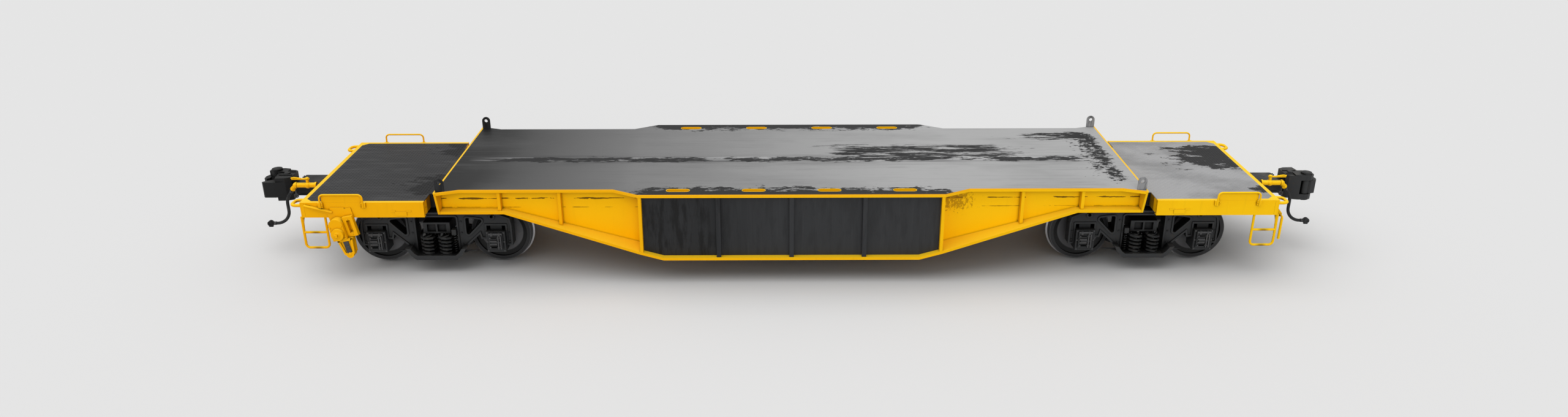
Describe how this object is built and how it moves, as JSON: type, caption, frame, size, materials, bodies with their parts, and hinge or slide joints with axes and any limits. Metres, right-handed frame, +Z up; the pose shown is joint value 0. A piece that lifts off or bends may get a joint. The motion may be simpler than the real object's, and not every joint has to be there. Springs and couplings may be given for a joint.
{
  "type": "flat wagon",
  "caption": "Heavy yellow flat wagon with fishbelly side girders, low end platforms, knuckle couplers and sprung three-piece bogies.",
  "frame": {"origin": "On the floor under the middle of the wagon, at the height of the wheel flanges' undersides.", "axes": "X along the wagon with the hand brake at the -X end, Y across with the hand brake on the -Y side, Z up."},
  "size_m": [16.5576, 3.2, 1.5996],
  "materials": {
    "deck_steel": "worn bare plate with dark scuffs",
    "yellow_paint": "semi-gloss, weathered",
    "black_paint": "semi-gloss, streaked",
    "tread_plate": "raised diagonal tread, worn",
    "cast_steel": "dark, dusty",
    "spring_steel": "dark, satin",
    "wheel_steel": "dark plates with rolled-bright treads",
    "pipe_steel": "dull",
    "rubber_hose": "matt"
  },
  "bodies": {
    "wagon": {"main_deck": "deck_steel", "pocket_liners": "yellow_paint", "girder_near": "yellow_paint", "girder_far": "yellow_paint", "side_panel_near": "black_paint", "side_panel_far": "black_paint", "bulkheads": "yellow_paint", "center_sill": "yellow_paint", "cross_bearers": "yellow_paint", "body_bolsters": "cast_steel", "side_sills": "yellow_paint", "end_sills": "yellow_paint", "platform_beams": "yellow_paint", "end_deck_left": "tread_plate", "end_deck_right": "tread_plate", "sill_steps": "yellow_paint", "side_grab_irons": "yellow_paint", "end_loops": "yellow_paint", "lashing_lugs": "black_paint", "hand_brake_bracket": "yellow_paint", "hand_brake_housing": "yellow_paint", "hand_brake_guide": "yellow_paint", "hand_brake_clevis": "yellow_paint", "strikers": "cast_steel", "uncoupling_levers": "yellow_paint", "train_pipe": "pipe_steel", "angle_cocks": "yellow_paint", "air_reservoir": "black_paint", "control_valve": "black_paint", "brake_cylinder": "black_paint", "hose_left": "rubber_hose", "hose_right": "rubber_hose", "gladhand_left": "cast_steel", "gladhand_right": "cast_steel"},
    "bogie_left": {"side_frames_left": "cast_steel", "bogie_bolster_left": "cast_steel", "springs_left": "spring_steel", "journal_boxes_left": "cast_steel", "brake_beams_left": "cast_steel"},
    "coupling_left": {"coupler_left": "cast_steel"},
    "jaw_left": {"knuckle_left": "cast_steel"},
    "bogie_right": {"side_frames_right": "cast_steel", "bogie_bolster_right": "cast_steel", "springs_right": "spring_steel", "journal_boxes_right": "cast_steel", "brake_beams_right": "cast_steel"},
    "coupling_right": {"coupler_right": "cast_steel"},
    "jaw_right": {"knuckle_right": "cast_steel"},
    "wheels_1": {"wheelset_1": "wheel_steel"},
    "wheels_2": {"wheelset_2": "wheel_steel"},
    "wheels_3": {"wheelset_3": "wheel_steel"},
    "wheels_4": {"wheelset_4": "wheel_steel"}
  },
  "joints": [
    {"name": "bogie_swivel_left", "type": "hinge", "parent": "wagon", "child": "bogie_left", "pos_m": [-5.307, 0, 0.69], "axis": [0, 0, 1], "range_deg": [-7, 7]},
    {"name": "coupler_swing_left", "type": "hinge", "parent": "wagon", "child": "coupling_left", "pos_m": [-7.06, 0, 0.95], "axis": [0, 0, 1], "range_deg": [-7, 7]},
    {"name": "knuckle_opening_left", "type": "hinge", "parent": "coupling_left", "child": "jaw_left", "pos_m": [-8.0982, 0.1364, 0.95], "axis": [0, 0, -1], "range_deg": [0, 45]},
    {"name": "bogie_swivel_right", "type": "hinge", "parent": "wagon", "child": "bogie_right", "pos_m": [5.307, 0, 0.69], "axis": [0, 0, 1], "range_deg": [-7, 7]},
    {"name": "coupler_swing_right", "type": "hinge", "parent": "wagon", "child": "coupling_right", "pos_m": [7.06, 0, 0.95], "axis": [0, 0, 1], "range_deg": [-7, 7]},
    {"name": "knuckle_opening_right", "type": "hinge", "parent": "coupling_right", "child": "jaw_right", "pos_m": [8.0982, -0.1364, 0.95], "axis": [0, 0, -1], "range_deg": [0, 45]},
    {"name": "wheel_roll_1", "type": "hinge", "parent": "bogie_left", "child": "wheels_1", "pos_m": [-6.196, 0, 0.485], "axis": [0, 1, 0], "continuous": true},
    {"name": "wheel_roll_2", "type": "hinge", "parent": "bogie_left", "child": "wheels_2", "pos_m": [-4.418, 0, 0.485], "axis": [0, 1, 0], "continuous": true},
    {"name": "wheel_roll_3", "type": "hinge", "parent": "bogie_right", "child": "wheels_3", "pos_m": [4.418, 0, 0.485], "axis": [0, 1, 0], "continuous": true},
    {"name": "wheel_roll_4", "type": "hinge", "parent": "bogie_right", "child": "wheels_4", "pos_m": [6.196, 0, 0.485], "axis": [0, 1, 0], "continuous": true}
  ]
}
